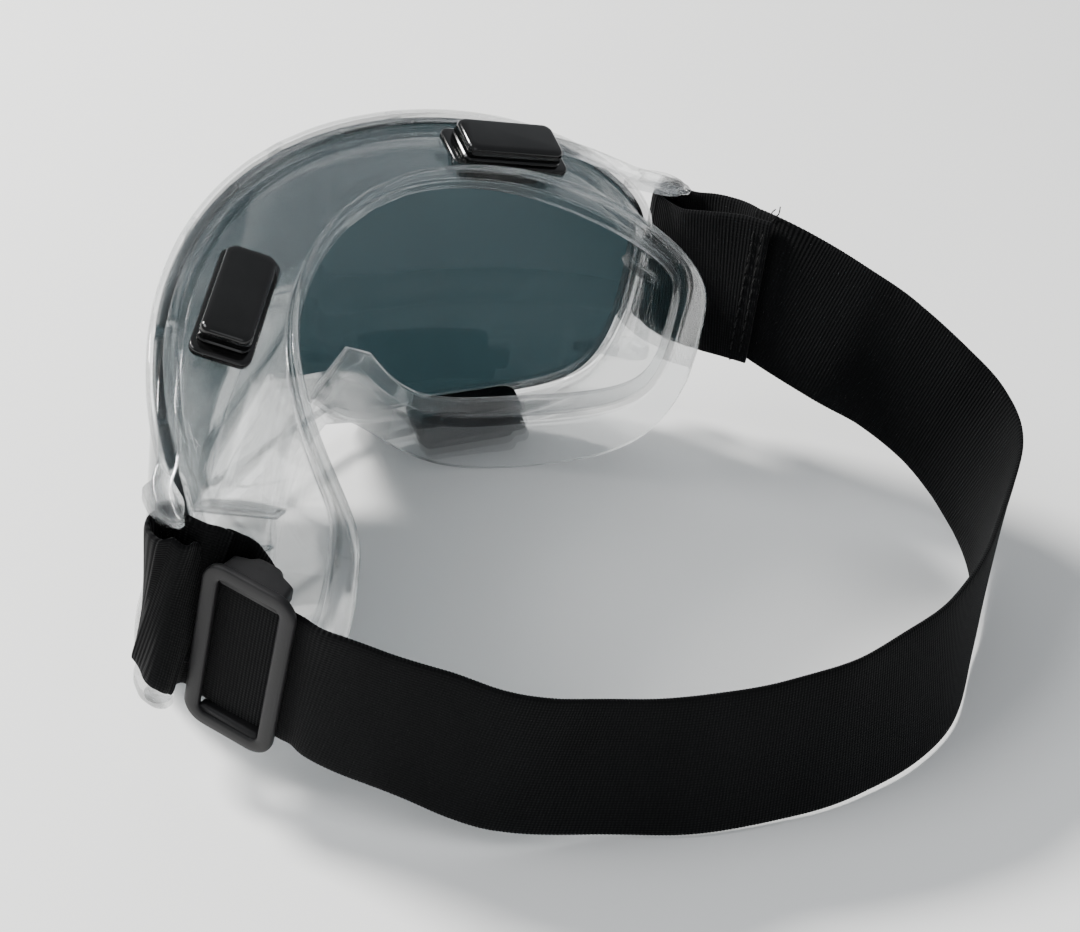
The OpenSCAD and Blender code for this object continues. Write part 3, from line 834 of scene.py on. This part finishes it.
def vent(place_name, spec, side):
    """Plate with its spigot, and a hood with a shadow line round its foot: (z, length, width, corner)."""
    to_frame = frame_of(*spec, side=side)
    z = VENT_SEAT
    top = z + VENT_BASE_T
    base = stacked("vent_plate_" + place_name, to_frame, [
        (z - SPIGOT_H, SPIGOT[0], SPIGOT[1], 1.6),
        (z, SPIGOT[0], SPIGOT[1], 1.6),
        (z + 0.02, VENT_L - 0.8, VENT_W - 0.8, 2.3),
        (z + 0.4, VENT_L, VENT_W, 2.5),
        (top - 0.5, VENT_L, VENT_W, 2.5),
        (top - 0.1, VENT_L - 0.5, VENT_W - 0.5, 2.3),
        (top, VENT_L - 1.4, VENT_W - 1.4, 2.0),
    ])
    dress(base, GLOSS, "goggles", ("vent_base_" + place_name,))
    roof = top + HOOD_H
    hood = stacked("vent_hood_" + place_name, to_frame, [
        (top + 0.02, HOOD_L - 0.6, HOOD_W - 0.6, 1.8),
        (top + 0.3, HOOD_L, HOOD_W, 2.0),
        (top + 0.8, HOOD_L, HOOD_W, 2.0),
        (top + 0.9, HOOD_L - 0.9, HOOD_W - 0.9, 1.8),
        (top + 1.2, HOOD_L - 0.9, HOOD_W - 0.9, 1.8),
        (top + 1.3, HOOD_L, HOOD_W, 2.0),
        (roof - 1.1, HOOD_L - 0.2, HOOD_W - 0.3, 2.1),
        (roof - 0.4, HOOD_L - 0.8, HOOD_W - 0.9, 2.1),
        (roof - 0.1, HOOD_L - 1.8, HOOD_W - 1.9, 1.9),
        (roof, HOOD_L - 3.2, HOOD_W - 3.2, 1.6),
    ])
    dress(hood, GLOSS, "goggles", ("vent_cap_" + place_name,))


# ---------- elastic ----------
def along(d):
    """Station on the elastic's straight stretch, d millimetres behind the slider's middle."""
    aim = unit(SLIDE_AIM)
    return [SLIDE_MID[k] + aim[k] * d for k in range(3)] + [SLIDE_LEAN]


def catmull(keys, step_mm):
    """Smooth path through stations [x, y, z, lean], at an even step."""
    keys = np.asarray(keys, float)
    dense = []
    for i in range(len(keys) - 1):
        a, b, c, d = keys[max(0, i - 1)], keys[i], keys[i + 1], keys[min(len(keys) - 1, i + 2)]
        square = 2 * a - 5 * b + 4 * c - d
        cube = 3 * b - a - 3 * c + d
        for k in np.linspace(0, 1, 40, endpoint=False):
            dense.append((2 * b + (c - a) * k + square * k * k + cube * k ** 3) / 2)
    dense.append(keys[-1])
    dense = np.array(dense)
    run = np.concatenate([[0], np.cumsum(np.linalg.norm(np.diff(dense[:, :3], axis=0), axis=1))])
    at = np.linspace(0, run[-1], max(2, int(run[-1] / step_mm)))
    return np.stack([np.interp(at, run, dense[:, k]) for k in range(4)], 1), at


def strap_axes(path, i, step_mm):
    """Unit vectors up and square to the elastic, tipping with its slope averaged over SLOPE_SPAN."""
    a, b = path[max(0, i - 2)], path[min(len(path) - 1, i + 2)]
    reach = round(SLOPE_SPAN / 2 / step_mm)
    first, last = max(0, i - reach), min(len(path) - 1, i + reach)
    slope = (path[last][2] - path[first][2]) / ((last - first) * step_mm)
    run = math.hypot(b[0] - a[0], b[1] - a[1])
    rise = run * max(-MAX_SLOPE, min(MAX_SLOPE, slope))
    d = unit([b[0] - a[0], b[1] - a[1], rise])
    into = unit([-d[1], d[0], 0])
    up = unit(unit(np.array([0, 0, 1.0]) - d * d[2]) * STRAP_W + into * path[i][3])
    return up, unit(np.cross(d, up))


# Half of the elastic's section: places from its middle to its edge, and its thickness there
EDGE_AT = (0.25, 0.5, 0.75, 0.9, 0.955, 0.985, 1.0)
EDGE_THIN = (1, 1, 1, 0.95, 0.8, 0.6, 0.25)
SWEEP_STEP = RIB_PITCH / 4


def elastic(name, keys, width, thickness, wave=0.0):
    """Woven elastic swept along its path, with looped selvedges and an even weave map."""
    path, at = catmull(keys, SWEEP_STEP)
    across = np.array([-v for v in EDGE_AT[::-1]] + [0] + list(EDGE_AT))
    thin = np.array(EDGE_THIN[::-1] + (1,) + EDGE_THIN)
    rings, uvs = [], []
    for i, s in enumerate(at):
        up, side = strap_axes(path, i, SWEEP_STEP)
        loop = 0.28 * abs(math.sin(math.pi * s / RIB_PITCH)) - 0.14
        ripple = wave * (math.sin(s / 9.0) * 0.35 + math.sin(s / 4.3 + 1.0) * 0.18)
        centre = path[i][:3]
        ring, uv = [], []
        for face in (-1, 1):
            order = range(len(across)) if face < 0 else range(len(across) - 1, -1, -1)
            for k in order:
                v = across[k]
                edge = 0.0 if abs(v) < 0.98 else math.copysign(loop, v)
                buckle = ripple * max(0.0, v) ** 2 - 0.6 * ripple * max(0.0, -v) ** 2
                proud = face * thickness / 2 * thin[k] + buckle
                ring.append(centre + up * (v * width / 2 + edge) + side * proud)
                uv.append((s, v * width / 2))
        rings.append(ring)
        uvs.append(uv)
    obj = loft(name, rings)
    layer = obj.data.uv_layers.new(name="weave")
    flat = [c for ring in uvs for c in ring]
    for corner in obj.data.loops:
        layer.data[corner.index].uv = flat[corner.vertex_index]
    return obj


def fold(z):
    """Half a turn round the right post, from the inside to the outside."""
    turns = [math.radians(a) for a in range(180, -1, -15)]
    return [[POST_X + FOLD_R * math.cos(t), -POST_Y + FOLD_R * math.sin(t), z, 0] for t in turns]


# Stations of the elastic round the head, from the left hinge to the right one: x, y, z and lean
LOOP = [
    [-62.5, -118, 26.6, 0],
    [-54, -126, 23, 2],
    [-40, -137, 20, 3.5],
    [-24.5, -151, 19.3, 5],
    [-7.5, -162, 19.2, 7],
    [12.5, -171, 19.2, 9],
    [42, -176, 19.2, 9],
    [70, -170, 20, 4],
    [89, -162, 22.5, 0],
    [100, -154, 27, -5],
    [104, -145, 32.5, -4],
    [103.5, -134, 39, -2],
    [100, -120, 46, -3],
    [95, -107, 51.2, -RIGHT_LEAN],
]
RIGHT_END = [90.8, -88, 56, -RIGHT_LEAN]


def headband():
    """One length of elastic: left fold, through the slider, round the head, and the sewn right fold."""
    left = [[-84.4, -61.2, LEFT_Z - 2.2, 0], [-86.4, -57.8, LEFT_Z - 0.5, 0]]
    left += [[-p[0], p[1], p[2], p[3]] for p in fold(LEFT_Z)[1:]]
    left += [[-93.2, -57.4, 47.6, 0], [-90.9, -58.5, 45.2, 0], [-87.8, -58.9, 42.2, -0.6]]
    straight = [along(d) for d in (-12, -9, -4, 0, 6, 12, 18)]
    straight += [[-76.6, -97.5, 34.6, -0.8], [-69.6, -108.4, 31.2, 0]]
    right = [RIGHT_END, [91.4, -80, 55.2, -RIGHT_LEAN], [94.6, -72, 53.2, -RIGHT_LEAN / 2],
             [96.2, -65, 51.4, 0], [95.4, -58.5, RIGHT_Z, 0]]
    right += fold(RIGHT_Z)[::-1]
    right += [[86.3, -58.5, RIGHT_Z, 0], [85.2, -65, 51.4, 0], [85.6, -72, 53.2, RIGHT_LEAN / 2],
              [86.8, -80, 55.2, RIGHT_LEAN], [88, -86, 55.8, RIGHT_LEAN]]
    band = elastic("headband_elastic", left + straight + LOOP + right, STRAP_W, STRAP_T, wave=0.8)
    dress(band, ELASTIC, None, ("strap_band", "strap_loop_left", "strap_loop_right"))
    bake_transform(band)


def slider_frame():
    return frame_of(SLIDE_MID, unit(SLIDE_AIM), -math.degrees(math.atan2(SLIDE_LEAN, STRAP_W)))


def tail():
    """The elastic's end: from the left fold, bowed inwards, round the slider's middle bar and back."""
    to_frame = slider_frame()
    mid_y = BAR_Y + MIDDLE_BAR[1] / 2
    reach = MIDDLE_BAR[1] / 2 + TAIL_GAP + TAIL_T / 2
    wrap = [(-1.0, mid_y + reach), (1.4, mid_y + reach), (2.9, mid_y + 0.8), (2.9, mid_y - 0.8),
            (1.4, mid_y - reach), (-2.6, mid_y - reach)]
    keys = [[-84.8, -60, LEFT_Z - 1.6, 0], [-82.6, -62, LEFT_Z - 3.2, 0], [-79.6, -65, LEFT_Z - 6.0, 0],
            [-78.2, -68.5, LEFT_Z - 8.6, -1]]
    for x, y in wrap:
        keys.append(list(to_frame((x, y, 0))) + [SLIDE_LEAN])
    obj = elastic("headband_tail", keys, STRAP_W - 1, TAIL_T)
    dress(obj, ELASTIC, None, ("strap_tail",))
    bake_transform(obj)


# ---------- slider ----------
def slider_ring(to_frame):
    """A rounded bar bent into a rounded rectangle, standing across the strap."""
    corner, steps, sides, square = 3.6, 8, 16, 0.55
    centre = rounded_rect(SLIDER_L - BAR_W, SLIDER_H - BAR_W, corner, steps)
    rings = []
    for i, (px, pz) in enumerate(centre):
        ax, az = centre[i - 1]
        bx, bz = centre[(i + 1) % len(centre)]
        t = unit([bx - ax, bz - az])
        ring = []
        for k in range(sides):
            a = 2 * math.pi * k / sides
            out = spow(math.cos(a), square) * BAR_W / 2
            y = RING_Y + spow(math.sin(a), square) * SLIDER_T / 2
            ring.append(to_frame((px + t[1] * out, y, pz - t[0] * out)))
        rings.append(ring)
    return loft("slider_ring", rings, closed=True)


def slider_rail(to_frame, side):
    """Joins the ring to the middle bar past one edge of the strap: (y, narrowing, shortening)."""
    z = side * (SLIDER_H / 2 - RAIL / 2 - 0.5)
    levels = [
        (RING_Y - 0.2, 0.2, 0),
        (RING_Y + 0.8, 0, 0),
        (BAR_Y - 1.0, 0, 0.4),
        (BAR_Y + 0.2, 0, 3.4),
        (BAR_Y + 1.4, 0.2, 4.2),
        (BAR_Y + MIDDLE_BAR[1], 0.6, 4.4),
    ]
    rings = []
    for y, narrow, short in levels:
        half_l = SLIDER_L / 2 - BAR_W + 0.2 - short - narrow
        half_h = RAIL / 2 - narrow * 0.6
        corners = [np.array([cx * half_l, y, z + cz * half_h]) for cx, cz in QUAD]
        rings.append([to_frame(p) for p in soften(corners, [1.1] * len(QUAD))])
    return loft("rail", rings)


def middle_bar(to_frame):
    """The bar across the slider's back that the elastic's tail is folded round."""
    mid_y = BAR_Y + MIDDLE_BAR[1] / 2
    end = SLIDER_H / 2
    rings = []
    for z, narrow in ((0.6 - end, 0.4), (1.4 - end, 0.0), (end - 1.4, 0.0), (end - 0.6, 0.4)):
        half_l = MIDDLE_BAR[0] / 2 - narrow
        half_t = MIDDLE_BAR[1] / 2 - narrow * 0.5
        corners = [np.array([cx * half_l, mid_y + cy * half_t, z]) for cx, cy in QUAD]
        rings.append([to_frame(p) for p in soften(corners, [0.7] * len(QUAD))])
    return loft("middle_bar", rings)


def slider():
    to_frame = slider_frame()
    parts = [slider_ring(to_frame), slider_rail(to_frame, -1), slider_rail(to_frame, 1), middle_bar(to_frame)]
    dress(joined("slider_buckle", parts), SATIN, "adjuster", ("slider",))


# ---------- stitching ----------
STITCH_PITCH = 3.0
STITCH_GAP = 0.7
STITCH_SLANT = 0.2
# Half thickness of a stitch at its ends and the swell over its middle, and how proud its middle stands
STITCH_END = 0.04
STITCH_SWELL = 0.17
STITCH_LIFT = 0.14
SEAM_ROWS = (0, 2.4)


def stitch(to_frame, x, y, z):
    """One stitch: a slanting thread, thicker and prouder in its middle."""
    rings = []
    for t in np.linspace(0, 1, 7):
        r = STITCH_SWELL * math.sin(math.pi * (0.12 + 0.76 * t)) + STITCH_END
        mid_x = x + STITCH_SLANT * (t - 0.5)
        mid_y = y - STITCH_LIFT * math.sin(math.pi * t)
        mid_z = z + (STITCH_PITCH - STITCH_GAP) * t
        turns = np.linspace(0, 2 * math.pi, 8, endpoint=False)
        rings.append([to_frame((mid_x + r * math.cos(a), mid_y + r * math.sin(a), mid_z)) for a in turns])
    return loft("stitch", rings)


def stitches(name, to_frame, xs, height, y):
    """Rows of stitches up the strap's width."""
    count = int(height / STITCH_PITCH)
    start = STITCH_GAP / 2 - count / 2 * STITCH_PITCH
    return joined(name, [stitch(to_frame, x, y, start + k * STITCH_PITCH) for x in xs for k in range(count)])


THREAD_R = 0.00016


def thread_end(name, start, offsets):
    curve = bpy.data.curves.new(name, "CURVE")
    curve.dimensions = "3D"
    curve.bevel_depth = THREAD_R
    curve.bevel_resolution = 2
    spline = curve.splines.new("BEZIER")
    spline.bezier_points.add(len(offsets) - 1)
    for point, offset in zip(spline.bezier_points, offsets):
        point.co = place([start[k] + offset[k] for k in range(3)])
        point.handle_left_type = point.handle_right_type = "AUTO"
    obj = bpy.data.objects.new(name, curve)
    bpy.context.scene.collection.objects.link(obj)
    return dress(obj, THREAD, "goggles")


def stitching():
    tilt = -math.degrees(math.atan2(RIGHT_LEAN, STRAP_W))
    outer = frame_of((91.2, -82.2, 55.4), unit([-0.4, -6.5, 0.6]), tilt)
    right = stitches("stitching_right", outer, SEAM_ROWS, STRAP_W - 3, STRAP_T / 2 + 0.05)
    inner = frame_of((87.1, -82.2, 55.4), unit([1.2, -6.5, 0.6]), tilt)
    inside = stitches("stitching_right_inside", inner, SEAM_ROWS, STRAP_W - 3, -STRAP_T / 2 - 0.05)
    dress(right, THREAD, "goggles", ("stitch_right",))
    dress(inside, THREAD, "goggles")
    top = (92.6, -83.0, 56 + STRAP_W / 2)
    low = (86.6, -84.5, 56 - STRAP_W / 2)
    thread_end("thread_end_top", top, [(0, 0, -1.2), (0.3, -0.6, 0.6), (-0.4, -1.4, 2.0), (0.6, -0.9, 3.4)])
    thread_end("thread_end_top_short", top, [(0.2, 0.6, -1), (0.5, 0.9, 0.7), (1.1, 0.4, 1.8)])
    thread_end("thread_end_low", low, [(0, 0, 1.0), (-0.3, -0.4, -0.6), (-1.1, 0.7, -1.5), (-1.9, 0.4, -1.1)])
    y = BAR_Y + MIDDLE_BAR[1] + TAIL_GAP + TAIL_T + 0.1
    row = stitches("stitching_tail", slider_frame(), (-2.6,), STRAP_W - 4, y)
    dress(row, THREAD, "adjuster", ("stitch_tail",))


# ---------- the scene ----------
camera()
studio()
frame_shell()
lens_sheet()
lens_edge()
clips()
for label, hand in (("left", -1), ("right", 1)):
    ear(label, hand)
    end_ribs(label, hand)
    vent("top_" + label, TOP_VENT, hand)
    vent("low_" + label, LOW_VENT, hand)
headband()
tail()
slider()
stitching()

boxes = {"cad": cad_box, "visual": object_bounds()}
{name: [list(map(float, corner)) for corner in box] for name, box in boxes.items()}
